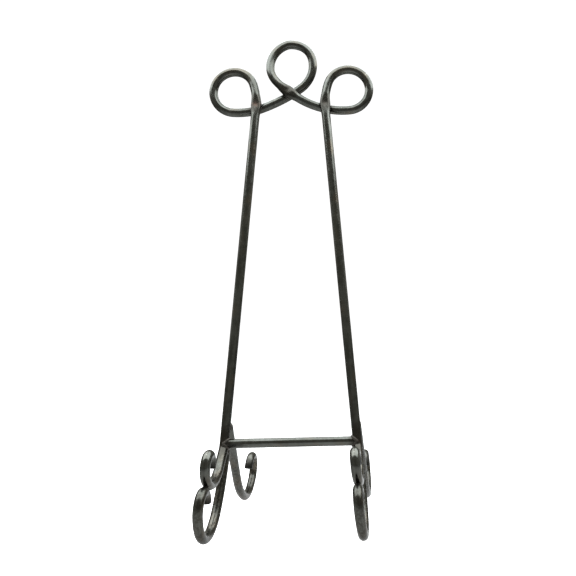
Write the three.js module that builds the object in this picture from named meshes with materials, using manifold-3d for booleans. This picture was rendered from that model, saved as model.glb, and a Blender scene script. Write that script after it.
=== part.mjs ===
// A rigid display easel bent from round iron bar: two leaning uprights that start in hooks and end
// in pigtail loops, a looped crown between them, one crossbar and four scrolled feet, all welded.
// Millimetres. +Z is up, +X runs to the right as the easel is faced and +Y runs to its back.
// The origin is on the floor, under the middle of the easel's bounding box.

import * as THREE from 'three';
import { mergeVertices } from 'three/addons/utils/BufferGeometryUtils.js';
import Module from 'manifold-3d';

const wasm = await Module();
wasm.setup();

// ---- Driving dimensions -------------------------------------------------------------------------

const BAR = 7; // diameter of every bar
const GAP = 0.3; // clearance between a weld and the bars it joins
const STACK = BAR + 0.4; // centre distance of two bars that lie one behind the other
const FLOOR_FLAT = 0.25; // depth of the worn flat under each foot

const CROSSBAR_HEIGHT = 62.1; // crossbar axis above the floor
const CROSSBAR_HALF = 49.4; // from the middle to an upright's axis at the crossbar
const SPLAY = 4.69; // degrees by which each upright tilts inward as it rises
const LEAN = 7.15; // degrees by which the face of the easel leans back
const STRAIGHT_TOP = 264.1; // where the loops start, measured up the face from the crossbar
const CROWN_TOP = 321.7; // top of the crown loop's axis, measured up the face from the crossbar

const BACK_FOOT_RISE = 10.2; // top of the back feet above the crossbar axis
const BACK_FOOT_STANDOFF = 5.6; // from an upright's axis back to the top of its back foot
const BACK_FOOT_HEADING = 314.4; // direction in which a back foot leaves its upright, degrees
const BACK_FOOT_INSET = 1; // back feet sit this much inboard of the uprights

// Bending schedules. A step is a straight { feed } or an arc { radius, turn }, in millimetres and
// degrees; a turn to the left is positive.
const HOOK_BENDS = [
  { radius: 8.3, turn: -35 },
  { feed: 13.1 },
  { radius: 28, turn: -93.9 },
  { radius: 8.2, turn: -240 },
];
const FRONT_FOOT_BENDS = [
  { radius: 96.7, turn: -30.3 },
  { radius: 30.5, turn: -123.2 },
  { radius: 10.7, turn: -192 },
];
const BACK_FOOT_BENDS = [
  { feed: 63.2 },
  { radius: 86.5, turn: 29.4 },
  { radius: 33.6, turn: 61.5 },
  { radius: 12.9, turn: 208 },
];
const SIDE_LOOP_BENDS = [
  { radius: 57.9, turn: -22.4 },
  { radius: 16.8, turn: -249.6 },
  { radius: 61.1, turn: -17.2 },
];
// The crown, from the top of its loop down to the end of each arm. The rear half goes round the right
// of the loop and out to the left, the front half the other way round.
const REAR_CROWN_BENDS = [
  { radius: 21.2, turn: -19.5 },
  { radius: 15.4, turn: -58.3 },
  { radius: 23.9, turn: -67.2 },
  { radius: 138.6, turn: -16.4 },
];
const FRONT_CROWN_BENDS = [
  { radius: 10.3, turn: -23.8 },
  { radius: 21.1, turn: -55.8 },
  { radius: 20.3, turn: -49.6 },
  { radius: 61.4, turn: -43.9 },
];

// A weld ring starts inboard of an upright's axis, or this far before the end of its loop.
const CROSSBAR_WELD = { inboard: 2.5, length: 2.9 };
const LOOP_WELD = { before: 1.9, length: 4 };
// A weld lump has half-sizes across, back and up, and may sit back of and above the end of its bar.
const CROWN_WELD = { halfSizes: [5.7, 2.7, 4.8] };
const FRONT_FOOT_WELD = { halfSizes: [4, 3.6, 3.6], back: 0.6, above: 0.8 };
const BACK_FOOT_WELD = { halfSizes: [4.2, 4.5, 5.1], back: -1.6, above: 0.6 };
const HOOK_TACK = { halfSizes: [3.1, 4.4, 2.4] };

const BAR_SIDES = 12; // facets round a bar
const ARC_STEP = 3.4; // longest chord along a bend
const FEED_STEP = 45; // longest piece of a straight

const WELD_REACH = 1.4; // how far a weld ring stands out of its bar
const WELD_SIDES = 12; // facets round a weld

// ---- Finishes -----------------------------------------------------------------------------------

const IRON = { color: 0x4b4a45, roughness: 0.42, metalness: 0.85 };
const WELD_METAL = { color: 0x5b4a3c, roughness: 0.6, metalness: 0.7 };

// ---- Bars bent in a plane -----------------------------------------------------------------------

const radians = THREE.MathUtils.degToRad;

// Follows a bending schedule from a start point and a heading, and gives the axis as 2-D points.
function bend(start, headingDegrees, schedule) {
  const points = [start.clone()];
  let heading = radians(headingDegrees);
  const advance = (distance, direction) => {
    const step = new THREE.Vector2(Math.cos(direction), Math.sin(direction));
    points.push(points.at(-1).clone().addScaledVector(step, distance));
  };
  for (const { feed, radius, turn } of schedule) {
    if (feed) {
      const count = Math.ceil(feed / FEED_STEP);
      for (let i = 0; i < count; i += 1) advance(feed / count, heading);
      continue;
    }
    const count = Math.ceil((radius * Math.abs(radians(turn))) / ARC_STEP);
    const angle = radians(turn) / count;
    const chord = 2 * radius * Math.sin(Math.abs(angle) / 2);
    for (let i = 0; i < count; i += 1) {
      advance(chord, heading + angle / 2);
      heading += angle;
    }
  }
  return points;
}

// Distance travelled along a row of points, as a fraction of the whole at each point.
function travelled(points) {
  const sums = [0];
  for (let i = 1; i < points.length; i += 1) {
    sums.push(sums.at(-1) + points[i].distanceTo(points[i - 1]));
  }
  return sums.map((sum) => sum / sums.at(-1));
}

// ---- The planes of the easel --------------------------------------------------------------------

// The face leans back about the crossbar; depth is measured behind it.
function onFace(across, up, depth = 0) {
  const lean = radians(LEAN);
  return new THREE.Vector3(
    across,
    up * Math.sin(lean) + depth * Math.cos(lean),
    CROSSBAR_HEIGHT + up * Math.cos(lean) - depth * Math.sin(lean),
  );
}

// Each side plane runs from front to back through one upright and tilts inward with it.
function onSide(side, back, height, inset = 0) {
  const inward = (height - CROSSBAR_HEIGHT) * Math.tan(radians(SPLAY));
  return new THREE.Vector3(side * (CROSSBAR_HALF - inset - inward), back, height);
}

// Half the distance between the uprights at a place up the face.
function halfWidth(up) {
  return CROSSBAR_HALF - up * Math.cos(radians(LEAN)) * Math.tan(radians(SPLAY));
}

// ---- Solids -------------------------------------------------------------------------------------

// A curve through given points that is sampled at just those points, so bends get short steps.
class PointPath extends THREE.Curve {
  constructor(points) {
    super();
    this.points = points;
  }

  getPoint(t, target = new THREE.Vector3()) {
    const place = t * (this.points.length - 1);
    const index = Math.min(Math.floor(place), this.points.length - 2);
    return target.lerpVectors(this.points[index], this.points[index + 1], place - index);
  }

  getPointAt(u, target) {
    return this.getPoint(u, target);
  }

  getTangentAt(u, target) {
    return this.getTangent(u, target);
  }
}

function barGeometry(axis, radius = BAR / 2) {
  const section = new THREE.Shape().absarc(0, 0, radius, 0, Math.PI * 2);
  return new THREE.ExtrudeGeometry(section, {
    steps: axis.length - 1,
    curveSegments: BAR_SIDES / 2,
    extrudePath: new PointPath(axis),
  });
}

function toSolid(geometry) {
  const bare = geometry.clone();
  bare.deleteAttribute('normal');
  bare.deleteAttribute('uv');
  const merged = mergeVertices(bare, 1e-4);
  return new wasm.Manifold(new wasm.Mesh({
    numProp: 3,
    vertProperties: new Float32Array(merged.attributes.position.array),
    triVerts: new Uint32Array(merged.index.array),
  }));
}

// The solid without the rooms that its neighbours need, as geometry.
function cut(solid, rooms) {
  const mesh = rooms.reduce((left, room) => left.subtract(room), solid).getMesh();
  const geometry = new THREE.BufferGeometry();
  geometry.setAttribute('position', new THREE.BufferAttribute(mesh.vertProperties, 3));
  geometry.setIndex(new THREE.BufferAttribute(mesh.triVerts, 1));
  geometry.computeVertexNormals();
  return geometry;
}

// The room that a bar and its clearance take up.
function barRoom(axis) {
  return toSolid(barGeometry(axis, BAR / 2 + GAP));
}

// ---- Axes of the bars ---------------------------------------------------------------------------

// One upright in a single bar: hook, straight, and a pigtail loop that ends behind the straight.
function uprightAxis(side) {
  const hook = bend(new THREE.Vector2(0, CROSSBAR_HEIGHT), 270 - LEAN, HOOK_BENDS)
    .map((point) => onSide(side, point.x, point.y));
  const pieces = Math.ceil(STRAIGHT_TOP / FEED_STEP);
  const straight = [];
  for (let i = 1; i < pieces; i += 1) {
    const up = (STRAIGHT_TOP * i) / pieces;
    straight.push(onFace(side * halfWidth(up), up));
  }
  const inward = Math.atan(Math.cos(radians(LEAN)) * Math.tan(radians(SPLAY)));
  const start = new THREE.Vector2(halfWidth(STRAIGHT_TOP), STRAIGHT_TOP);
  const flat = bend(start, 90 + THREE.MathUtils.radToDeg(inward), SIDE_LOOP_BENDS);
  const share = travelled(flat);
  const loop = flat.map((point, i) => onFace(side * point.x, point.y, STACK * share[i]));
  return [...hook.reverse(), ...straight, ...loop];
}

// The crown in a single bar. Its arms end behind the uprights, against the ends of their loops.
// Below its own loop the right arm passes in front of the left one.
function crownAxis() {
  const top = new THREE.Vector2(0, CROWN_TOP);
  const rear = bend(top, 0, REAR_CROWN_BENDS).reverse();
  const front = bend(top, 0, FRONT_CROWN_BENDS).slice(1)
    .map((point) => new THREE.Vector2(-point.x, point.y));
  const flat = [...rear, ...front];
  const share = travelled(flat);
  const rearCrossing = share[rear.findIndex((point) => point.x >= 0)];
  const frontCrossing = share[rear.length + front.findIndex((point) => point.x >= 0)];
  const depthAt = (place) => {
    if (place < rearCrossing) return STACK;
    if (place < frontCrossing) {
      return (STACK * (frontCrossing - place)) / (frontCrossing - rearCrossing);
    }
    return (STACK * (place - frontCrossing)) / (1 - frontCrossing);
  };
  return flat.map((point, i) => onFace(point.x, point.y, depthAt(share[i])));
}

// Moves a foot up or down by a hair, so that its worn flat is exactly on the floor.
function standOnFloor(points) {
  const lowest = Math.min(...points.map((point) => point.y));
  const lift = BAR / 2 - FLOOR_FLAT - lowest;
  return points.map((point) => new THREE.Vector2(point.x, point.y + lift));
}

function frontFootAxis(side) {
  const start = new THREE.Vector2(STACK, CROSSBAR_HEIGHT);
  return standOnFloor(bend(start, 270 - LEAN, FRONT_FOOT_BENDS))
    .map((point) => onSide(side, point.x, point.y));
}

function backFootAxis(side) {
  const behind = BACK_FOOT_RISE * Math.tan(radians(LEAN)) + BACK_FOOT_STANDOFF;
  const start = new THREE.Vector2(behind, CROSSBAR_HEIGHT + BACK_FOOT_RISE);
  return standOnFloor(bend(start, BACK_FOOT_HEADING, BACK_FOOT_BENDS))
    .map((point) => onSide(side, point.x, point.y, BACK_FOOT_INSET));
}

// ---- Welds --------------------------------------------------------------------------------------

// A ring of weld metal round a bar's axis, from a centre on along a direction.
function weldRing(centre, direction, length, rooms) {
  const inner = BAR / 2 - 1;
  const crest = BAR / 2 + WELD_REACH;
  const edge = BAR / 2 + WELD_REACH / 2;
  const profile = [
    [inner, 0], [edge, 0], [crest, length * 0.3], [crest, length * 0.6], [edge, length],
    [inner, length], [inner, 0],
  ].map(([x, y]) => new THREE.Vector2(x, y));
  const ring = new THREE.LatheGeometry(profile, WELD_SIDES);
  const up = new THREE.Vector3(0, 1, 0);
  ring.applyQuaternion(new THREE.Quaternion().setFromUnitVectors(up, direction.clone().normalize()));
  ring.translate(centre.x, centre.y, centre.z);
  return cut(toSolid(ring), rooms);
}

// A lump of weld metal: an upright ellipsoid on or near a point.
function weldLump(point, { halfSizes, back = 0, above = 0 }, rooms) {
  const lump = new THREE.SphereGeometry(1, WELD_SIDES, WELD_SIDES / 2);
  lump.scale(...halfSizes);
  lump.translate(point.x, point.y + back, point.z + above);
  return cut(toSolid(lump), rooms);
}

// The middle between two rows of points where they come closest.
function contact(axisA, axisB) {
  let nearest = { distance: Infinity };
  for (const a of axisA) {
    for (const b of axisB) {
      const distance = a.distanceTo(b);
      if (distance < nearest.distance) nearest = { distance, middle: a.clone().lerp(b, 0.5) };
    }
  }
  return nearest.middle;
}

// ---- The easel ----------------------------------------------------------------------------------

const easel = new THREE.Group();

function addPart(name, geometry, finish) {
  const mesh = new THREE.Mesh(geometry, new THREE.MeshStandardMaterial(finish));
  mesh.name = name;
  easel.add(mesh);
}

const floor = toSolid(new THREE.BoxGeometry(400, 400, 20).translate(0, 0, -10));
const crown = crownAxis();
const crownRoom = barRoom(crown);
const crossbar = [onFace(-CROSSBAR_HALF, 0), onFace(CROSSBAR_HALF, 0)];
const crossbarRoom = barRoom(crossbar);
const sides = [['left', -1], ['right', 1]];
const uprights = sides.map(([, side]) => uprightAxis(side));
const uprightRooms = uprights.map(barRoom);

addPart('crown', barGeometry(crown), IRON);
addPart('crossbar', cut(toSolid(barGeometry(crossbar)), uprightRooms), IRON);

const arm = Math.floor(crown.length / 4);
const crossing = contact(crown.slice(0, arm), crown.slice(-arm));
addPart('crown_crossing_weld', weldLump(crossing, CROWN_WELD, [crownRoom]), WELD_METAL);

sides.forEach(([name, side], i) => {
  const upright = uprights[i];
  const uprightRoom = uprightRooms[i];
  const frontFoot = frontFootAxis(side);
  const backFoot = backFootAxis(side);
  const footRooms = [uprightRoom, barRoom(frontFoot), barRoom(backFoot)];

  addPart(`${name}_upright`, barGeometry(upright), IRON);
  addPart(`${name}_front_foot`, cut(toSolid(barGeometry(frontFoot)), [floor]), IRON);
  addPart(`${name}_back_foot`, cut(toSolid(barGeometry(backFoot)), [floor, uprightRoom]), IRON);

  const inboard = new THREE.Vector3(-side, 0, 0);
  const barEnd = onFace(side * (CROSSBAR_HALF - CROSSBAR_WELD.inboard), 0);
  const crossbarWeld = weldRing(barEnd, inboard, CROSSBAR_WELD.length, [uprightRoom, crossbarRoom]);
  addPart(`${name}_crossbar_weld`, crossbarWeld, WELD_METAL);

  const seam = upright.at(-1);
  const along = seam.clone().sub(upright.at(-2)).normalize();
  const seamStart = seam.clone().addScaledVector(along, -LOOP_WELD.before);
  const loopWeld = weldRing(seamStart, along, LOOP_WELD.length, [uprightRoom, crownRoom]);
  addPart(`${name}_loop_weld`, loopWeld, WELD_METAL);

  const scroll = frontFoot.slice(Math.floor(frontFoot.length / 2));
  const frontFootWeld = weldLump(frontFoot[0], FRONT_FOOT_WELD, footRooms);
  addPart(`${name}_front_foot_weld`, frontFootWeld, WELD_METAL);
  addPart(`${name}_back_foot_weld`, weldLump(backFoot[0], BACK_FOOT_WELD, footRooms), WELD_METAL);
  addPart(`${name}_hook_tack`, weldLump(contact(upright, scroll), HOOK_TACK, footRooms), WELD_METAL);
});

const box = new THREE.Box3().setFromObject(easel);
easel.position.y = -(box.min.y + box.max.y) / 2;

export default easel;
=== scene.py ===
"""Looks of the display easel: bars bent from round iron, welds, a pale studio and the camera.

The bars follow the same bending schedules as the CAD model, in fine steps. Millimetres are used
up to the moment a mesh is made; Blender gets metres.
"""
import math

import bpy
import numpy as np
from mathutils import Matrix, Vector, noise


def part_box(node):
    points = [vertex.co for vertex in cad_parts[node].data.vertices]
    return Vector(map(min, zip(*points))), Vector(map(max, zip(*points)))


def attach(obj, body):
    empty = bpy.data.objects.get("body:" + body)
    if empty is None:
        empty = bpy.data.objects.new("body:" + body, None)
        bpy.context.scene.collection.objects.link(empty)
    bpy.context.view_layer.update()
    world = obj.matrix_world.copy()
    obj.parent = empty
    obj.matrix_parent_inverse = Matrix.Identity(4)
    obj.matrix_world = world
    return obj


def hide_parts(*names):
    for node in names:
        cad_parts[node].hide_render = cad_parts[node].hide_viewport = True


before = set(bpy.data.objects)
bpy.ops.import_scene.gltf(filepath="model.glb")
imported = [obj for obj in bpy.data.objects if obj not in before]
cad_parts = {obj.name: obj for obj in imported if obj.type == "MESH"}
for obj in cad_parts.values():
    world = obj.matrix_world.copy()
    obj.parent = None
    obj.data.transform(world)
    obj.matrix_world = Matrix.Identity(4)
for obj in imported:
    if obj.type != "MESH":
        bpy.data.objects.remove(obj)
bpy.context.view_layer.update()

# ---- Driving dimensions of the CAD model ---------------------------------------------------------

BAR = 7.0  # diameter of every bar
RADIUS = BAR / 2
STACK = BAR + 0.4  # centre distance of two bars that lie one behind the other
FLOOR_FLAT = 0.25  # depth of the worn flat under each foot
CROSSBAR_HEIGHT = 62.1  # crossbar axis above the floor
CROSSBAR_HALF = 49.4  # from the middle to an upright's axis at the crossbar
SPLAY = math.radians(4.69)  # by which each upright tilts inward as it rises
LEAN = math.radians(7.15)  # by which the face of the easel leans back
STRAIGHT_TOP = 264.1  # where the side loops start, measured up the face from the crossbar
CROWN_TOP = 321.7  # top of the crown loop's axis, measured up the face from the crossbar
BACK_FOOT_RISE = 10.2  # top of the back feet above the crossbar axis
BACK_FOOT_STANDOFF = 5.6  # from an upright's axis back to the top of its back foot
BACK_FOOT_HEADING = 314.4  # direction in which a back foot leaves its upright, degrees
BACK_FOOT_INSET = 1  # how far inboard of the uprights the back feet stand on the floor
BACK_FOOT_TOP_INSET = {-1: 1.0, 1: -0.4}  # the same at their tops: the right one is askew

# A step is a straight (length, None) or an arc (radius, turn), in millimetres and degrees.
HOOK_BENDS = [(8.3, -35), (13.1, None), (28, -93.9), (8.2, -240)]
FRONT_FOOT_BENDS = [(96.7, -30.3), (30.5, -123.2), (10.7, -192)]
BACK_FOOT_BENDS = [(63.2, None), (86.5, 29.4), (33.6, 61.5), (12.9, 208)]
SIDE_LOOP_BENDS = [(57.9, -22.4), (16.8, -249.6), (61.1, -17.2)]
REAR_CROWN_BENDS = [(21.2, -19.5), (15.4, -58.3), (23.9, -67.2), (138.6, -16.4)]
FRONT_CROWN_BENDS = [(10.3, -23.8), (21.1, -55.8), (20.3, -49.6), (61.4, -43.9)]

# ---- Dimensions of the looks ---------------------------------------------------------------------

BAR_SIDES = 40  # facets round a bar
ARC_STEP = 1.1  # longest chord along a bend
ARC_ANGLE = 4.0  # largest turn in one chord, degrees
FEED_STEP = 2.5  # longest piece of a straight
END_BEVEL = 0.4  # chamfer of a cut end
END_CLEARANCE = 0.2  # shortest distance from a chamfer to the next ring of the bar
END_RING = 0.5  # radius of the ring within a cut end's face, as a share of the bar's
BEVEL_CUT = 0.8  # how sawn the outer edge of a chamfer looks
SAW_MARKS = 0.12  # how uneven the face of a cut end is
SLOW_SWELL = 0.012  # how far the radius wanders over long stretches, as a share of it
QUICK_SWELL = 0.006  # and over short ones
# The blackness at a free end is oxide and also painted shade of the hollow inside a scroll or hook.
OXIDE_AND_SHADE = 0.95  # how black the bar is next to its free end
OXIDE_AND_SHADE_LENGTH = 8.0  # how far along the bar that blackness fades
COPE_ZONE = 9.0  # length over which a coped end is drawn to the bar that it meets
COPE_GAP = 0.05  # left between a coped end and the bar that it meets
COPE_REACH = 3.4  # farthest that a slanting end is drawn out towards the other bar
PAD_LENGTH = 9.0  # half the length of the flat hammered where two bars cross
PAD_WIDENING = {"crown": 0.42, "left": 0.27, "right": 0.27}  # as a share of the bar's width
PAD_DEPTH = 0.8  # height of the flat over the axis, as a share of the radius
PAD_EDGE = 6  # how sharply the flat turns into the round of the bar
PAD_DIMPLE = 0.25  # depth of the hollow in the middle of the flat
DIMPLE_RADIUS = 0.6 * RADIUS
CORNER_BLUNTNESS = 0.02  # how blunt the corners of the flat's diamond outline are
BEFORE_LOOP = 0.75  # share of an upright's points among which the one over its seam is sought
BEAD_SIDES = 14
BEAD_STEP = 0.28  # distance between the rings of a bead
RIPPLE_PITCH = 1.25  # distance between the ripples of a weld bead
RIPPLE_HEIGHT = 0.13  # as a share of the bead's radius, like its swell and its roughness
BEAD_TAPER = 1.6  # length of a bead's rounded end, in radii
BEAD_END = 0.2  # size of its last ring, as a share of the full one
BEAD_TIP = 0.12  # how far the tip stands out beyond that ring
BEAD_SWELL = 0.16
BEAD_ROUGHNESS = 0.05
CROSSBAR_BEAD = 0.95  # radii of the beads
SEAM_BEAD = 1.05
FRONT_FOOT_BEAD = 1.25
BACK_FOOT_BEAD = 0.6
SEAM_RING = 0.86 * RADIUS  # radius of the ring that the seam's bead runs along
SEAM_POINTS = 24
SADDLE_SINK = 0.6  # share by which a saddle's line is drawn in to the bar, where it stands off
LUMP_ROWS = 12
LUMP_SIDES = 20
LUMP_SWELL = 0.14
LUMP_ROUGHNESS = 0.06
LUMP_RIPPLE = 0.04
TACK_HALF_SIZES = (1.2, 2.5, 2.3)  # between the two bars, along them and beside them

# The bead over the end of a front foot: millimetres across it and up the upright, then the share
# of the distance from the upright's axis to the foot's.
FRONT_FOOT_BEAD_PATH = [
    (-2.3, -8.0, 0.5), (-2.4, -3.5, 0.5), (-2.2, 0.2, 0.56), (0.0, 1.3, 0.66),
    (2.2, 0.2, 0.56), (2.4, -3.5, 0.5), (2.3, -8.0, 0.5),
]

# How far from a place the heat of a weld tints the iron, and how strongly. Its sooty ring is also
# painted contact shade where the bars meet.
PAD_HEAT = {"left": (12.0, 1.0), "right": (12.0, 0.8), "crown": (12.0, 0.7)}
# The middle of the crown's crossing: the soot there is painted contact shade between the strands.
CROSSING_HEAT_AND_SHADE = (9.0, 0.7)
CROWN_END_HEAT = (8.0, 0.8)
CROSSBAR_END_HEAT = (9.5, 1.0)
SEAM_HEAT = (9.0, 0.75)
JOINT_HEAT = (22.0, 0.8)
BEHIND_JOINT_HEAT = (9.0, 0.7)
FRONT_FOOT_HEAT = (10.0, 0.8)
BACK_FOOT_HEAT = (6.0, 0.3)
TACK_HEAT = (7.0, 0.6)

FORGED_TOP = 58.0  # below this height the tight bends are browner from the forge
FORGED_FADE = 14.0
SHARP_EDGE = math.radians(38)  # edges that turn by more than this are shaded sharp

MILLIMETRE = 0.001
lowest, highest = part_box("crossbar")
SHIFT_BACK = (lowest.y + highest.y) / 2  # the crossbar's axis is at y = 0 in the dimensions above

# ---- Bars bent in a plane ------------------------------------------------------------------------


def bend(start, heading, schedule):
    """The axis of a bar as 2-D points, from a start, a heading in degrees and a bending schedule."""
    points = [np.array(start, float)]
    heading = math.radians(heading)
    for size, turn in schedule:
        if turn is None:
            count = math.ceil(size / FEED_STEP)
            angle, step = 0.0, size / count
        else:
            arc = size * abs(math.radians(turn))
            count = math.ceil(max(arc / ARC_STEP, abs(turn) / ARC_ANGLE))
            angle = math.radians(turn) / count
            step = 2 * size * math.sin(abs(angle) / 2)
        for _ in range(count):
            middle = heading + angle / 2
            points.append(points[-1] + step * np.array([math.cos(middle), math.sin(middle)]))
            heading += angle
    return points


def distances(points):
    """Distance travelled at each of a row of points."""
    steps = np.linalg.norm(np.diff(np.array(points), axis=0), axis=1)
    return np.concatenate([[0.0], np.cumsum(steps)])


def on_face(across, up, depth=0.0):
    """A point of the leaning face; depth is measured behind it."""
    return np.array([
        across,
        up * math.sin(LEAN) + depth * math.cos(LEAN),
        CROSSBAR_HEIGHT + up * math.cos(LEAN) - depth * math.sin(LEAN),
    ])


def on_side(side, back, height, inset=0.0):
    """A point of the plane that runs from front to back through one upright."""
    inward = (height - CROSSBAR_HEIGHT) * math.tan(SPLAY)
    return np.array([side * (CROSSBAR_HALF - inset - inward), back, height])


def half_width(up):
    """From the middle to an upright's axis, at a distance up the face."""
    return CROSSBAR_HALF - up * math.cos(LEAN) * math.tan(SPLAY)


INTO_FACE = on_face(0, 0, 1) - on_face(0, 0, 0)

# ---- Axes of the bars ----------------------------------------------------------------------------


def upright_axis(side):
    """From the tip of the hook, up the straight and round the loop."""
    hook = bend((0, CROSSBAR_HEIGHT), 270 - math.degrees(LEAN), HOOK_BENDS)
    pieces = math.ceil(STRAIGHT_TOP / FEED_STEP)
    heights = [STRAIGHT_TOP * i / pieces for i in range(1, pieces)]
    inward = math.degrees(math.atan(math.cos(LEAN) * math.tan(SPLAY)))
    flat = bend((half_width(STRAIGHT_TOP), STRAIGHT_TOP), 90 + inward, SIDE_LOOP_BENDS)
    along = distances(flat)
    loop = [
        on_face(side * x, y, STACK * gone / along[-1])
        for (x, y), gone in zip(flat, along)
    ]
    hook_points = [on_side(side, x, y) for x, y in reversed(hook)]
    straight = [on_face(side * half_width(up), up) for up in heights]
    return np.array(hook_points + straight + loop)


def crown_axis():
    """From the left end, round the loop and on to the right end."""
    rear = bend((0, CROWN_TOP), 0, REAR_CROWN_BENDS)[::-1]
    front = [point * (-1, 1) for point in bend((0, CROWN_TOP), 0, FRONT_CROWN_BENDS)[1:]]
    flat = rear + front
    along = distances(flat)
    in_rear = next(i for i, point in enumerate(rear) if point[0] >= 0)
    in_front = len(rear) + next(i for i, point in enumerate(front) if point[0] >= 0)
    depths = np.interp(along, [along[in_rear], along[in_front], along[-1]], [STACK, 0, STACK])
    return np.array([on_face(x, y, depth) for (x, y), depth in zip(flat, depths)])


def stand_on_floor(points):
    """Lifts a foot's axis so far that only its worn flat would lie below the floor."""
    lift = RADIUS - FLOOR_FLAT - min(point[1] for point in points)
    return [point + (0, lift) for point in points]


def front_foot_axis(side):
    points = bend((STACK, CROSSBAR_HEIGHT), 270 - math.degrees(LEAN), FRONT_FOOT_BENDS)
    return np.array([on_side(side, x, y) for x, y in stand_on_floor(points)])


def back_foot_axis(side):
    behind = BACK_FOOT_RISE * math.tan(LEAN) + BACK_FOOT_STANDOFF
    start = (behind, CROSSBAR_HEIGHT + BACK_FOOT_RISE)
    points = bend(start, BACK_FOOT_HEADING, BACK_FOOT_BENDS)
    insets = (BACK_FOOT_INSET, BACK_FOOT_TOP_INSET[side])
    return np.array([
        on_side(side, x, y, np.interp(y, (0, start[1]), insets))
        for x, y in stand_on_floor(points)
    ])


def nearest_pair(axis_a, axis_b):
    """Indices of the points at which two rows of points come closest."""
    gaps = np.linalg.norm(axis_a[:, None, :] - axis_b[None, :, :], axis=2)
    return np.unravel_index(np.argmin(gaps), gaps.shape)


# ---- Meshes --------------------------------------------------------------------------------------


def unit(vector):
    return vector / np.linalg.norm(vector)


def wobble(place, scale, seed=0.0):
    """Smooth noise from -1 to 1 at a place in millimetres, with features of about 1 / scale."""
    return noise.noise(Vector((place[0] * scale + seed, place[1] * scale, place[2] * scale)))


class Surface:
    """Vertices and faces of one piece, with what its material reads at each vertex."""

    def __init__(self):
        self.vertices = []
        self.places = []  # where patterns are looked up: for a bar, its place before bending
        # Below 1, the blackness beside a free end is oxide and painted shade of the curl's hollow.
        self.cuts_and_shade = []  # 1 on the face of a cut end, less on the black iron beside a free one
        self.faces = []

    def add_ring(self, points, places, cut_and_shade=0.0):
        first = len(self.vertices)
        self.vertices.extend(points)
        self.places.extend(places)
        self.cuts_and_shade.extend([cut_and_shade] * len(points))
        return list(range(first, first + len(points)))

    def bridge(self, ring, following):
        count = len(ring)
        for i in range(count):
            j = (i + 1) % count
            self.faces.append((ring[i], ring[j], following[j], following[i]))

    def bridge_all(self, rings):
        for ring, following in zip(rings[:-1], rings[1:]):
            self.bridge(ring, following)

    def close(self, ring, tip, outward):
        count = len(ring)
        for i in range(count):
            edge = (ring[i], ring[(i + 1) % count])
            self.faces.append((edge if outward else edge[::-1]) + (tip,))


class Track:
    """A curve through 3-D points with a frame that turns with it as little as it can."""

    def __init__(self, points, sideways, closed=False):
        self.points = np.array(points, float)
        self.along = distances(self.points)
        self.length = self.along[-1]
        if closed:
            ahead = np.roll(self.points[:-1], -1, axis=0)
            behind = np.roll(self.points[:-1], 1, axis=0)
            tangents = np.vstack([ahead - behind, (ahead - behind)[:1]])
        else:
            tangents = np.gradient(self.points, axis=0)
        self.tangents = tangents / np.linalg.norm(tangents, axis=1)[:, None]
        normal = unit(sideways - sideways.dot(self.tangents[0]) * self.tangents[0])
        self.normals = [normal]
        for before, after in zip(self.tangents[:-1], self.tangents[1:]):
            turn = Vector(before).rotation_difference(Vector(after))
            normal = np.array(turn @ Vector(normal))
            normal = unit(normal - normal.dot(after) * after)
            self.normals.append(normal)
        self.normals = np.array(self.normals)

    def at(self, distance):
        """Centre, tangent, normal and binormal at a distance along the curve."""
        rows = [self.points, self.tangents, self.normals]
        centre, tangent, normal = [
            np.array([np.interp(distance, self.along, row[:, axis]) for axis in range(3)])
            for row in rows
        ]
        tangent = unit(tangent)
        normal = unit(normal - normal.dot(tangent) * tangent)
        return centre, tangent, normal, np.cross(tangent, normal)


def ring_angles(sides):
    return [2 * math.pi * i / sides for i in range(sides)]


def directions_around(first, second, sides):
    """Unit vectors all the way round, starting at the first axis and turning to the second."""
    return [math.cos(angle) * first + math.sin(angle) * second for angle in ring_angles(sides)]


def meet(point, direction, run_point, run_direction, reach):
    """How far a point slides along a direction until it lies on the far side of a round bar."""
    offset = point - run_point
    flat_offset = offset - offset.dot(run_direction) * run_direction
    flat_slide = direction - direction.dot(run_direction) * run_direction
    a = flat_slide.dot(flat_slide)
    b = flat_offset.dot(flat_slide)
    c = flat_offset.dot(flat_offset) - reach * reach
    return (-b + math.sqrt(max(b * b - a * c, 0.0))) / a


def uneven_radius(place, seed):
    """The radius of rolled bar, as a share of the true one: never quite even."""
    slow = wobble(place, 0.07, seed)
    quick = wobble(place, 0.3, seed + 40)
    return 1 + SLOW_SWELL * slow + QUICK_SWELL * quick


def diamond(share):
    """How flat a hammered pad is at a share of its half length: a peak with a blunt corner."""
    if share >= 1:
        return 0.0
    flank = (math.sqrt(1 + CORNER_BLUNTNESS) - 1) * share
    return 1 - math.sqrt(share * share + CORNER_BLUNTNESS) + flank


def flatten(offset, weight, widening):
    """Hammers the front of a section flat and lets it spread sideways."""
    depth = offset.dot(INTO_FACE)
    sideways = offset - depth * INTO_FACE
    spread = sideways * (1 + widening * weight)
    if depth < 0:
        past_flat = -depth / (PAD_DEPTH * RADIUS)
        pressed = -depth / (1 + past_flat ** PAD_EDGE) ** (1 / PAD_EDGE)
        from_middle = sideways.dot(sideways) / DIMPLE_RADIUS ** 2
        dimple = PAD_DIMPLE * weight * max(0.0, 1 - from_middle)
        depth = depth * (1 - weight) - (pressed - dimple) * weight
    return spread + depth * INTO_FACE


def oxide_and_shade_at(s, length, tip):
    """How black the bar is near its free end, oxide and painted shade of the curl's hollow: tip is 0
    for the start, 1 for the end of the bar.
    """
    if tip is None:
        return 0.0
    from_tip = s if tip == 0 else length - s
    return OXIDE_AND_SHADE * math.sqrt(max(0.0, 1 - from_tip / OXIDE_AND_SHADE_LENGTH))


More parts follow.
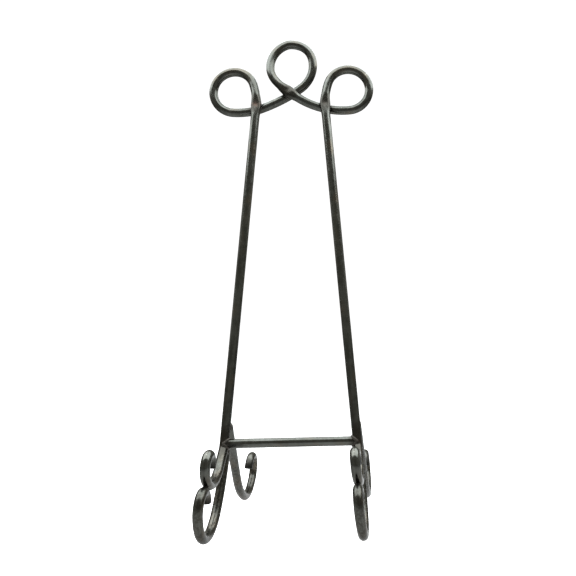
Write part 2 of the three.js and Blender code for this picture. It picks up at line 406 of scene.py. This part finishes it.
def bar_surface(axis, seed, pad=None, copes=(), tip=None, on_floor=False):
    """A bar along an axis: slightly uneven, with chamfered rough ends or coped ones."""
    track = Track(axis, INTO_FACE)
    length = track.length
    pad_middle, widening = pad or (-PAD_LENGTH, 0.0)  # a bar without a pad has it past its start
    clear = END_BEVEL + END_CLEARANCE
    inner = [s for s in track.along if clear < s < length - clear]
    head = [(0.0, END_RING, 1.0), (0.0, 1 - END_BEVEL / RADIUS, 1.0), (END_BEVEL, 1.0, BEVEL_CUT)]
    tail = [(length - s, size, cut_and_shade) for s, size, cut_and_shade in reversed(head)]
    stations = head + [(s, 1.0, oxide_and_shade_at(s, length, tip)) for s in inner] + tail
    surface = Surface()
    rings = []
    for s, size, cut_and_shade in stations:
        centre, tangent, normal, binormal = track.at(s)
        weight = diamond(abs(s - pad_middle) / PAD_LENGTH)
        points, places = [], []
        for angle in ring_angles(BAR_SIDES):
            x, y = RADIUS * math.cos(angle), RADIUS * math.sin(angle)
            around = math.cos(angle) * normal + math.sin(angle) * binormal
            offset = around * (RADIUS * size * uneven_radius((x, y, s), seed))
            if weight:
                offset = flatten(offset, weight, widening)
            point = centre + offset
            if cut_and_shade == 1.0:
                point = point + tangent * SAW_MARKS * wobble(point, 0.5, seed)
            point = coped(point, s, offset, track, copes)
            if on_floor:
                point[2] = max(point[2], 0.0)
            points.append(point)
            places.append((x * size, y * size, s))
        rings.append(surface.add_ring(points, places, cut_and_shade))
    surface.bridge_all(rings)
    for s, ring, outward in ((0.0, rings[0], False), (length, rings[-1], True)):
        middle = coped(track.at(s)[0], s, np.zeros(3), track, copes)
        (tip_vertex,) = surface.add_ring([middle], [(0, 0, s)], 1.0)
        surface.close(ring, tip_vertex, outward)
    return surface


def coped(point, s, offset, track, copes):
    """Slides a point near a coped end, so that the end meets the bar it is welded to."""
    for end, run_point, run_direction in copes:
        from_end = s if end == 0 else track.length - s
        if from_end >= COPE_ZONE:
            continue
        centre, tangent, _, _ = track.at(0.0 if end == 0 else track.length)
        inward = tangent if end == 0 else -tangent
        slide = meet(centre + offset, inward, run_point, run_direction, RADIUS + COPE_GAP)
        slide = max(slide, -COPE_REACH)
        share = 1 - from_end / COPE_ZONE
        point = point + inward * slide * share
    return point


def smooth_path(points, closed=False):
    """A fine row of points on a smooth curve through a few given ones."""
    rows = [np.array(point, float) for point in points]
    count = len(rows)

    def row(index):
        return rows[index % count if closed else min(max(index, 0), count - 1)]

    result = []
    for i in range(count if closed else count - 1):
        a, b, c, d = (row(i + k) for k in (-1, 0, 1, 2))
        steps = max(2, math.ceil(np.linalg.norm(c - b) / BEAD_STEP))
        for k in range(steps):
            t = k / steps
            result.append(0.5 * (
                2 * b + (c - a) * t + (2 * a - 5 * b + 4 * c - d) * t * t
                + (3 * b - a - 3 * c + d) * t ** 3
            ))
    result.append(row(count))
    return result


def add_bead(surface, points, radius, sideways, seed, closed=False):
    """A weld bead with its ripples. An open one is rounded off at both ends."""
    track = Track(smooth_path(points, closed), np.array(sideways, float), closed)
    count = math.ceil(track.length / BEAD_STEP)
    stations = [track.length * i / count for i in range(count + (0 if closed else 1))]
    rings = []
    for s in stations:
        centre, _, normal, binormal = track.at(s)
        ripple = abs(math.sin(math.pi * s / RIPPLE_PITCH)) * RIPPLE_HEIGHT
        taper = 1.0
        if not closed:
            from_end = min(s, track.length - s) / (BEAD_TAPER * radius)
            taper = math.sqrt(max(BEAD_END ** 2, 1 - (1 - min(1.0, from_end)) ** 2))
        swell = 1 + BEAD_SWELL * wobble(centre, 0.35, seed)
        ring_points = []
        for around in directions_around(normal, binormal, BEAD_SIDES):
            rough = 1 + BEAD_ROUGHNESS * wobble(centre + around, 1.3, seed)
            ring_points.append(centre + around * radius * (swell + ripple) * taper * rough)
        rings.append(surface.add_ring(ring_points, ring_points))
    surface.bridge_all(rings)
    if closed:
        close_seam(surface, rings[-1], rings[0])
        return
    for ring, s, outward in ((rings[0], 0.0, False), (rings[-1], track.length, True)):
        centre, tangent, _, _ = track.at(s)
        tip_point = centre + tangent * BEAD_TIP * (1 if outward else -1)
        (tip,) = surface.add_ring([tip_point], [tip_point])
        surface.close(ring, tip, outward)


def close_seam(surface, ring, first):
    """Joins the last ring of a closed bead to its first, whatever the frame has turned by."""
    start = surface.vertices[ring[0]]
    gaps = [np.linalg.norm(surface.vertices[i] - start) for i in first]
    turn = gaps.index(min(gaps))
    surface.bridge(ring, first[turn:] + first[:turn])


def add_lump(surface, centre, axes, half_sizes, seed):
    """A small solidified pool of weld metal: an uneven ellipsoid with ripples."""
    rings = []
    for row in range(1, LUMP_ROWS):
        polar = math.pi * row / LUMP_ROWS
        points = []
        for angle in ring_angles(LUMP_SIDES):
            local = (
                math.sin(polar) * math.cos(angle),
                math.sin(polar) * math.sin(angle),
                math.cos(polar),
            )
            point = sum(c * size * axis for c, size, axis in zip(local, half_sizes, axes))
            swell = LUMP_SWELL * wobble(point, 0.55, seed)
            rough = LUMP_ROUGHNESS * wobble(point, 1.6, seed)
            phase = local[2] * half_sizes[2] * 2 * math.pi / RIPPLE_PITCH
            points.append(centre + point * (1 + swell + rough + LUMP_RIPPLE * math.sin(phase)))
        rings.append(surface.add_ring(points, points))
    surface.bridge_all(rings[::-1])
    for ring, sign, outward in ((rings[0], 1, True), (rings[-1], -1, False)):
        tip_point = centre + sign * half_sizes[2] * axes[2]
        (tip,) = surface.add_ring([tip_point], [tip_point])
        surface.close(ring, tip, outward)


def heat_and_shade_at(point, hot_and_shaded_spots):
    """How much a weld has tinted the iron at a point, from 0 to 1; where bars meet this also paints
    contact shade.
    """
    heat_and_shade = 0.0
    for centre, reach, strength in hot_and_shaded_spots:
        share = 1 - np.linalg.norm(point - centre) / reach
        heat_and_shade = max(heat_and_shade, strength * max(0.0, share))
    return heat_and_shade


def make_piece(name, node, surface, material, hot_and_shaded_spots=()):
    """A Blender object for a surface, riding on the easel in place of its CAD node."""
    vertices = np.array(surface.vertices)
    metres = vertices * MILLIMETRE
    metres[:, 1] += SHIFT_BACK
    mesh = bpy.data.meshes.new(name)
    mesh.from_pydata(metres.tolist(), [], surface.faces)
    mesh.attributes.new("bar_place", "FLOAT_VECTOR", "POINT").data.foreach_set(
        "vector", np.array(surface.places, float).ravel())
    mesh.attributes.new("cut_end_and_shade", "FLOAT", "POINT").data.foreach_set("value", surface.cuts_and_shade)
    heats_and_shades = [heat_and_shade_at(point, hot_and_shaded_spots) for point in vertices]
    mesh.attributes.new("weld_heat_and_shade", "FLOAT", "POINT").data.foreach_set("value", heats_and_shades)
    forged = np.clip((FORGED_TOP - vertices[:, 2]) / FORGED_FADE, 0.0, 1.0)
    mesh.attributes.new("forged", "FLOAT", "POINT").data.foreach_set("value", forged)
    mesh.polygons.foreach_set("use_smooth", [True] * len(mesh.polygons))
    mesh.set_sharp_from_angle(angle=SHARP_EDGE)
    mesh.validate()
    mesh.materials.append(material)
    piece = bpy.data.objects.new(name, mesh)
    bpy.context.scene.collection.objects.link(piece)
    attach(piece, "root")
    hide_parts(node)


# ---- Materials -----------------------------------------------------------------------------------


class Graph:
    """Short calls for the shader nodes of one material or world."""

    def __init__(self, owner):
        owner.use_nodes = True
        self.tree = owner.node_tree
        self.tree.nodes.clear()

    def add(self, kind, settings=None, **inputs):
        node = self.tree.nodes.new(kind)
        for name, value in (settings or {}).items():
            setattr(node, name, value)
        for name, value in inputs.items():
            self.put(node, name.replace("_", " "), value)
        return node

    def put(self, node, name, value):
        socket = node.inputs[int(name)] if name.isdigit() else node.inputs[name]
        if isinstance(value, bpy.types.NodeSocket):
            self.tree.links.new(value, socket)
        else:
            socket.default_value = value

    def attribute(self, name, output="Fac"):
        return self.add("ShaderNodeAttribute", {"attribute_name": name}).outputs[output]

    def stretch(self, vector, scale):
        node = self.add("ShaderNodeVectorMath", {"operation": "MULTIPLY"})
        self.put(node, "0", vector)
        self.put(node, "1", scale)
        return node.outputs[0]

    def noise(self, vector, scale, detail=3.0, distortion=0.0):
        node = self.add("ShaderNodeTexNoise", Vector=vector, Scale=scale, Detail=detail,
                        Distortion=distortion)
        return node.outputs["Fac"]

    def math(self, operation, a, b):
        node = self.add("ShaderNodeMath", {"operation": operation})
        self.put(node, "0", a)
        self.put(node, "1", b)
        return node.outputs[0]

    def remap(self, value, low, high, to_low=0.0, to_high=1.0):
        node = self.add("ShaderNodeMapRange", {"interpolation_type": "SMOOTHSTEP"}, Value=value)
        for name, number in (("From Min", low), ("From Max", high),
                             ("To Min", to_low), ("To Max", to_high)):
            self.put(node, name, number)
        return node.outputs[0]

    def mix(self, factor, a, b):
        node = self.add("ShaderNodeMix", {"data_type": "RGBA"})
        self.put(node, "0", factor)
        self.put(node, "6", a)
        self.put(node, "7", b)
        return node.outputs[2]

    def bump(self, height, distance, strength):
        node = self.add("ShaderNodeBump", Height=height, Distance=distance, Strength=strength)
        return node.outputs[0]


def colour(red, green, blue):
    return (red, green, blue, 1.0)


def iron_material():
    """Gunmetal-finished iron: lengthwise draw marks, mottling, brown heat tint near the welds, soot
    that also paints the contact shade where bars meet, and black free tips that also paint the shade
    inside the curls.
    """
    material = bpy.data.materials.new("gunmetal_iron")
    graph = Graph(material)
    place = graph.attribute("bar_place", "Vector")
    streaks = graph.noise(graph.stretch(place, (1.0, 1.0, 0.06)), 0.55, 2.0, 0.3)
    blotches = graph.noise(place, 0.2, 2.0, 0.6)
    patches = graph.noise(graph.stretch(place, (1.0, 1.0, 0.5)), 0.11, 3.0)
    grain = graph.noise(place, 1.1, 2.0)
    scale = graph.noise(place, 0.45, 2.0, 0.4)
    forged = graph.attribute("forged")
    cut_and_shade = graph.attribute("cut_end_and_shade")

    tone = graph.math("ADD", graph.math("MULTIPLY", streaks, 0.55),
                      graph.math("MULTIPLY", blotches, 0.45))
    base = graph.mix(graph.remap(tone, 0.36, 0.64), colour(0.041, 0.042, 0.036),
                     colour(0.07, 0.072, 0.065))
    brown = graph.math("ADD", patches, graph.math("MULTIPLY", forged, 0.12))
    browned = graph.mix(graph.remap(brown, 0.5, 0.72, 0.0, 0.75), base,
                        colour(0.074, 0.063, 0.048))
    heat_and_shade = graph.math("ADD", graph.attribute("weld_heat_and_shade"),
                      graph.math("MULTIPLY", graph.math("SUBTRACT", scale, 0.5), 0.5))
    smudge = graph.math("MULTIPLY", graph.remap(scale, 0.42, 0.62, 0.2, 0.8), forged)
    smudged = graph.mix(smudge, browned, colour(0.024, 0.022, 0.018))
    # Soot round the welds, which also serves as painted contact shade where bars meet and beside the
    # pads.
    sooty_and_shaded = graph.mix(graph.remap(heat_and_shade, 0.08, 0.5, 0.0, 0.9), smudged,
                      colour(0.026, 0.024, 0.02))
    scorched = graph.mix(graph.remap(heat_and_shade, 0.6, 0.95, 0.0, 0.8), sooty_and_shaded,
                         colour(0.07, 0.044, 0.034))
    specks = graph.mix(graph.remap(grain, 0.68, 0.78, 0.0, 0.3), scorched,
                       colour(0.02, 0.019, 0.016))
    ticks = graph.noise(graph.stretch(place, (1.0, 1.0, 1.4)), 0.45, 1.0)
    scratched = graph.mix(graph.remap(ticks, 0.77, 0.82, 0.0, 0.6), specks,
                          colour(0.21, 0.21, 0.19))
    # Near black on a cut face, and along a free tip also painted shade of the curl's hollow.
    sawn_and_shaded = graph.mix(cut_and_shade, scratched, colour(0.008, 0.0075, 0.0065))

    gloss = graph.math("ADD", graph.remap(blotches, 0.3, 0.7, 0.16, 0.23),
                       graph.remap(heat_and_shade, 0.2, 0.9, 0.0, 0.12))
    gloss = graph.math("ADD", gloss, graph.math("MULTIPLY", forged, 0.08))
    gloss = graph.math("ADD", gloss, graph.math("MULTIPLY", cut_and_shade, 0.2))
    height = graph.math("ADD", graph.math("MULTIPLY", streaks, 0.8),
                        graph.math("MULTIPLY", grain, 0.05))
    shader = graph.add("ShaderNodeBsdfPrincipled", Base_Color=sawn_and_shaded, Roughness=gloss,
                       Normal=graph.bump(height, 0.00005, 0.2))
    graph.put(shader, "Metallic", 0.95)
    graph.put(shader, "Specular Tint", colour(0.55, 0.55, 0.55))
    graph.put(shader, "Coat Weight", 0.08)
    graph.put(shader, "Coat Roughness", 0.22)
    graph.add("ShaderNodeOutputMaterial", Surface=shader.outputs[0])
    return material


def weld_material():
    """Brown, rough weld metal under the same finish."""
    material = bpy.data.materials.new("browned_weld")
    graph = Graph(material)
    place = graph.attribute("bar_place", "Vector")
    cloud = graph.noise(place, 0.5, 4.0, 0.5)
    grain = graph.noise(place, 2.6, 4.0)
    base = graph.mix(graph.remap(cloud, 0.35, 0.65), colour(0.028, 0.025, 0.021),
                     colour(0.047, 0.04, 0.033))
    pitted = graph.mix(graph.remap(grain, 0.58, 0.72, 0.0, 0.7), base,
                       colour(0.02, 0.017, 0.014))
    shader = graph.add("ShaderNodeBsdfPrincipled", Base_Color=pitted,
                       Roughness=graph.remap(cloud, 0.3, 0.7, 0.42, 0.62),
                       Normal=graph.bump(grain, 0.0003, 0.7))
    graph.put(shader, "Metallic", 0.75)
    graph.add("ShaderNodeOutputMaterial", Surface=shader.outputs[0])
    return material


# ---- Where the bars run and meet -----------------------------------------------------------------

SIDES = (("left", -1), ("right", 1))

crown = crown_axis()
uprights = {name: upright_axis(side) for name, side in SIDES}
front_feet = {name: front_foot_axis(side) for name, side in SIDES}
back_feet = {name: back_foot_axis(side) for name, side in SIDES}
joints = {name: on_face(side * CROSSBAR_HALF, 0) for name, side in SIDES}
rises = {
    name: unit(on_face(side * half_width(1), 1) - on_face(side * half_width(0), 0))
    for name, side in SIDES
}
crown_ends = {"left": crown[0], "right": crown[-1]}
seams = {name: (uprights[name][-1] + crown_ends[name]) / 2 for name, _ in SIDES}


def crown_crossing():
    """Indices of the points of the crown, in its rear arm and in its front one, that cross."""
    quarter = len(crown) // 4
    rear, front = nearest_pair(crown[:quarter], crown[-quarter:])
    return rear, front + len(crown) - quarter


def over_seam(name):
    """Index of the point of an upright that lies in front of its seam with the crown."""
    upright = uprights[name]
    before_loop = upright[:int(len(upright) * BEFORE_LOOP)]
    return int(np.argmin(np.linalg.norm(before_loop - seams[name], axis=1)))


def tack_place(name):
    """Where a hook and the scroll below it come closest: middle, way across, way along."""
    upright = uprights[name]
    scroll = front_feet[name][len(front_feet[name]) // 2:]
    on_upright, on_scroll = nearest_pair(upright, scroll)
    middle = (upright[on_upright] + scroll[on_scroll]) / 2
    between = unit(upright[on_upright] - scroll[on_scroll])
    return middle, between, unit(scroll[on_scroll + 1] - scroll[on_scroll - 1])


# ---- The bars ------------------------------------------------------------------------------------

iron = iron_material()


def make_bar(name, node, axis, seed, hot_and_shaded_spots, **shape):
    """A bar in place of its CAD node; shape is what else bar_surface is told about it."""
    make_piece(name, node, bar_surface(axis, seed, **shape), iron, hot_and_shaded_spots)


def make_crown(seed):
    rear, front = crown_crossing()
    spots = [
        (crown[front], *PAD_HEAT["crown"]),
        ((crown[rear] + crown[front]) / 2, *CROSSING_HEAT_AND_SHADE),
        (crown[0], *CROWN_END_HEAT),
        (crown[-1], *CROWN_END_HEAT),
    ]
    pad = (distances(crown)[front], PAD_WIDENING["crown"])
    make_bar("crown_bar", "crown", crown, seed, spots, pad=pad)


def make_crossbar(seed):
    left, right = joints["left"], joints["right"]
    pieces = math.ceil(2 * CROSSBAR_HALF / FEED_STEP)
    axis = np.array([left + (right - left) * i / pieces for i in range(pieces + 1)])
    spots = [(joint, *CROSSBAR_END_HEAT) for joint in (left, right)]
    copes = [(0, left, rises["left"]), (1, right, rises["right"])]
    make_bar("crossbar_rod", "crossbar", axis, seed, spots, copes=copes)


def make_upright(name, seed):
    upright = uprights[name]
    pad_index = over_seam(name)
    spots = [
        (upright[pad_index], *PAD_HEAT[name]),
        (seams[name], *SEAM_HEAT),
        (joints[name], *JOINT_HEAT),
        (back_feet[name][0], *BEHIND_JOINT_HEAT),
    ]
    pad = (distances(upright)[pad_index], PAD_WIDENING[name])
    make_bar(f"{name}_upright_bar", f"{name}_upright", upright, seed, spots, pad=pad, tip=0)


def make_front_foot(name, seed):
    foot = front_feet[name]
    spots = [(foot[0], *FRONT_FOOT_HEAT), (tack_place(name)[0], *TACK_HEAT)]
    make_bar(f"{name}_front_foot_bar", f"{name}_front_foot", foot, seed, spots,
             tip=1, on_floor=True)


def make_back_foot(name, seed):
    foot = back_feet[name]
    spots = [(foot[0], *BACK_FOOT_HEAT)]
    copes = [(0, joints[name], rises[name])]
    make_bar(f"{name}_back_foot_bar", f"{name}_back_foot", foot, seed, spots,
             copes=copes, tip=1, on_floor=True)


make_crown(11.0)
make_crossbar(23.0)
for number, (name, _) in enumerate(SIDES):
    seed = 50.0 + 17.0 * number
    make_upright(name, seed)
    make_front_foot(name, seed + 3)
    make_back_foot(name, seed + 6)

# ---- The welds -----------------------------------------------------------------------------------

weld = weld_material()


def saddle(origin, direction, run_point, run_direction, count=28):
    """The closed line in which a bar meets another one that it is coped to."""
    first = unit(np.cross(direction, run_direction))
    second = np.cross(direction, first)
    points = []
    for around in directions_around(first, second, count):
        start = origin + RADIUS * around
        slide = meet(start, direction, run_point, run_direction, RADIUS)
        point = start + direction * max(slide, -COPE_REACH)
        off_run = point - run_point
        off_run = off_run - off_run.dot(run_direction) * run_direction
        gap = np.linalg.norm(off_run) - RADIUS
        points.append(point - unit(off_run) * gap * SADDLE_SINK)
    return points


def fillet_pair(surface, centre, along, across, half_length, offset, depth, radius, seed):
    """Two beads in the corners beside a bar that crosses over another."""
    for sign in (-1, 1):
        middle = centre + across * offset * sign + INTO_FACE * depth
        points = [middle + along * half_length * t for t in (-1, -0.4, 0.3, 1)]
        add_bead(surface, points, radius, INTO_FACE, seed + sign)


def weld_crown_crossing(seed):
    bead = Surface()
    _, front = crown_crossing()
    along = unit(crown[front + 2] - crown[front - 2])
    across = unit(np.cross(along, INTO_FACE))
    fillet_pair(bead, crown[front], along, across, half_length=3.4, offset=0.95 * RADIUS,
                depth=2.4, radius=1.15, seed=seed)
    make_piece("crown_crossing_bead", "crown_crossing_weld", bead, weld)


def weld_crossbar(name, side, seed):
    bead = Surface()
    inboard = np.array([-side, 0.0, 0.0])
    line = saddle(joints[name], inboard, joints[name], rises[name])
    add_bead(bead, line, CROSSBAR_BEAD, INTO_FACE, seed, closed=True)
    make_piece(f"{name}_crossbar_bead", f"{name}_crossbar_weld", bead, weld)


def weld_loop(name, seed):
    """A ring where the loop's end butts against the crown's, and fillets to the upright."""
    bead = Surface()
    upright = uprights[name]
    through = unit(upright[-1] - upright[-3])
    first = unit(np.cross(through, INTO_FACE))
    second = np.cross(through, first)
    ring = [
        seams[name] + SEAM_RING * around
        for around in directions_around(first, second, SEAM_POINTS)
    ]
    add_bead(bead, ring, SEAM_BEAD, through, seed, closed=True)
    beside = unit(np.cross(rises[name], INTO_FACE))
    fillet_pair(bead, upright[over_seam(name)], rises[name], beside, half_length=3.0,
                offset=0.86 * RADIUS, depth=2.6, radius=1.05, seed=seed + 2)
    make_piece(f"{name}_loop_bead", f"{name}_loop_weld", bead, weld)


def weld_front_foot(name, seed):
    bead = Surface()
    joint, rise = joints[name], rises[name]
    start = front_feet[name][0]
    out = unit(start - start.dot(rise) * rise - (joint - joint.dot(rise) * rise))
    over = unit(np.cross(rise, out))
    points = [
        joint + over * u + rise * v + out * STACK * share
        for u, v, share in FRONT_FOOT_BEAD_PATH
    ]
    add_bead(bead, points, FRONT_FOOT_BEAD, out, seed)
    make_piece(f"{name}_front_foot_bead", f"{name}_front_foot_weld", bead, weld)


def weld_back_foot(name, seed):
    bead = Surface()
    foot = back_feet[name]
    line = saddle(foot[0], unit(foot[3] - foot[0]), joints[name], rises[name])
    add_bead(bead, line, BACK_FOOT_BEAD, INTO_FACE, seed, closed=True)
    make_piece(f"{name}_back_foot_bead", f"{name}_back_foot_weld", bead, weld)


def tack_hook(name, seed):
    bead = Surface()
    middle, between, tangent = tack_place(name)
    beside = unit(np.cross(tangent, between))
    add_lump(bead, middle, (between, tangent, beside), TACK_HALF_SIZES, seed)
    make_piece(f"{name}_tack_bead", f"{name}_hook_tack", bead, weld)


weld_crown_crossing(5.0)
for number, (name, side) in enumerate(SIDES):
    seed = 200.0 + 31.0 * number
    weld_crossbar(name, side, seed)
    weld_loop(name, seed + 2)
    weld_front_foot(name, seed + 7)
    weld_back_foot(name, seed + 9)
    tack_hook(name, seed + 13)

# ---- Studio --------------------------------------------------------------------------------------

FLOOR_HALF = 30.0
WHITE = colour(1.0, 1.0, 1.0)
AIM = (0.0, 0.0, 0.2)  # what the side softboxes point at


def floor_material():
    """Plain pale paper that glows around the easel, less so farther off, and is white in view."""
    material = bpy.data.materials.new("studio_floor")
    graph = Graph(material)
    place = graph.add("ShaderNodeTexCoord").outputs["Object"]
    fibre = graph.noise(place, 60.0, 3.0)
    paper = graph.mix(graph.remap(fibre, 0.3, 0.7), colour(0.26, 0.26, 0.26),
                      colour(0.28, 0.28, 0.28))
    length = graph.add("ShaderNodeVectorMath", {"operation": "LENGTH"}, Vector=place)
    away = length.outputs["Value"]
    shader = graph.add("ShaderNodeBsdfPrincipled", Base_Color=paper, Roughness=0.8)
    graph.put(shader, "Specular IOR Level", 0.0)
    graph.put(shader, "Emission Color", WHITE)
    seen = graph.add("ShaderNodeLightPath").outputs["Is Camera Ray"]
    glow = graph.math("ADD", graph.remap(away, 0.05, 0.5, 0.9, 0.15),
                      graph.math("MULTIPLY", seen, 0.95))
    graph.put(shader, "Emission Strength", glow)
    graph.add("ShaderNodeOutputMaterial", Surface=shader.outputs[0])
    return material


floor_mesh = bpy.data.meshes.new("studio_floor")
corners = [(x * FLOOR_HALF, y * FLOOR_HALF, 0.0) for x, y in ((-1, -1), (1, -1), (1, 1), (-1, 1))]
floor_mesh.from_pydata(corners, [], [(0, 1, 2, 3)])
floor_mesh.materials.append(floor_material())
floor = bpy.data.objects.new("studio_floor", floor_mesh)
bpy.context.scene.collection.objects.link(floor)


def studio_world():
    """A dim light tent, a little brighter behind the easel, that is white in view."""
    world = bpy.data.worlds.new("light_tent")
    graph = Graph(world)
    direction = graph.add("ShaderNodeSeparateXYZ",
                          Vector=graph.add("ShaderNodeTexCoord").outputs["Generated"])
    behind = graph.remap(direction.outputs["Y"], 0.2, 0.95, 0.0, 0.25)
    level = graph.math("ADD", behind, 0.46)
    tent = graph.add("ShaderNodeBackground", Color=colour(1.0, 0.99, 0.88), Strength=level)
    plain = graph.add("ShaderNodeBackground", Color=WHITE, Strength=1.1)
    seen = graph.add("ShaderNodeLightPath").outputs["Is Camera Ray"]
    mixed = graph.add("ShaderNodeMixShader")
    graph.put(mixed, "0", seen)
    graph.put(mixed, "1", tent.outputs[0])
    graph.put(mixed, "2", plain.outputs[0])
    graph.add("ShaderNodeOutputWorld", Surface=mixed.outputs[0])
    return world


bpy.context.scene.world = studio_world()


def softbox(name, location, target, size, power, tint=(1.0, 1.0, 1.0)):
    """A rectangular lamp, unseen by the camera, that points from one place at another."""
    light = bpy.data.lights.new(name, "AREA")
    light.shape = "RECTANGLE"
    light.size, light.size_y = size
    light.energy = power
    light.color = tint
    lamp = bpy.data.objects.new(name, light)
    lamp.location = location
    aim = Vector(target) - Vector(location)
    lamp.rotation_euler = aim.to_track_quat("-Z", "Y").to_euler()
    lamp.visible_camera = False
    bpy.context.scene.collection.objects.link(lamp)


softbox("overhead_softbox", (0.0, 0.1, 0.62), (0.0, 0.1, 0.0), size=(1.4, 0.8), power=24.5,
        tint=(0.92, 0.97, 1.0))
softbox("left_softbox", (-1.1, 0.1, 0.7), AIM, size=(0.5, 0.8), power=1.1)
softbox("right_softbox", (1.1, 0.35, 0.8), AIM, size=(0.5, 0.8), power=1.1,
        tint=(1.0, 0.98, 0.95))

# ---- Camera --------------------------------------------------------------------------------------

CAMERA_PLACE = (0.07121, -0.55722, 0.13484)
TILT_UP = math.radians(2.29)
ROLL = math.radians(-1.29)
LENS = 44.09  # millimetres, for a sensor 36 mm wide
LENS_SHIFT = (-0.1664, 0.0450)

camera_data = bpy.data.cameras.new("photo_camera")
camera_data.sensor_width = 36.0
camera_data.lens = LENS
camera_data.shift_x, camera_data.shift_y = LENS_SHIFT
camera_data.clip_start = 0.01
camera = bpy.data.objects.new("photo_camera", camera_data)
pitch = Matrix.Rotation(math.radians(90) + TILT_UP, 4, "X")
roll = Matrix.Rotation(ROLL, 4, "Z")
camera.matrix_world = Matrix.Translation(CAMERA_PLACE) @ pitch @ roll
bpy.context.scene.collection.objects.link(camera)
bpy.context.scene.camera = camera
bpy.context.scene.view_settings.view_transform = "Standard"
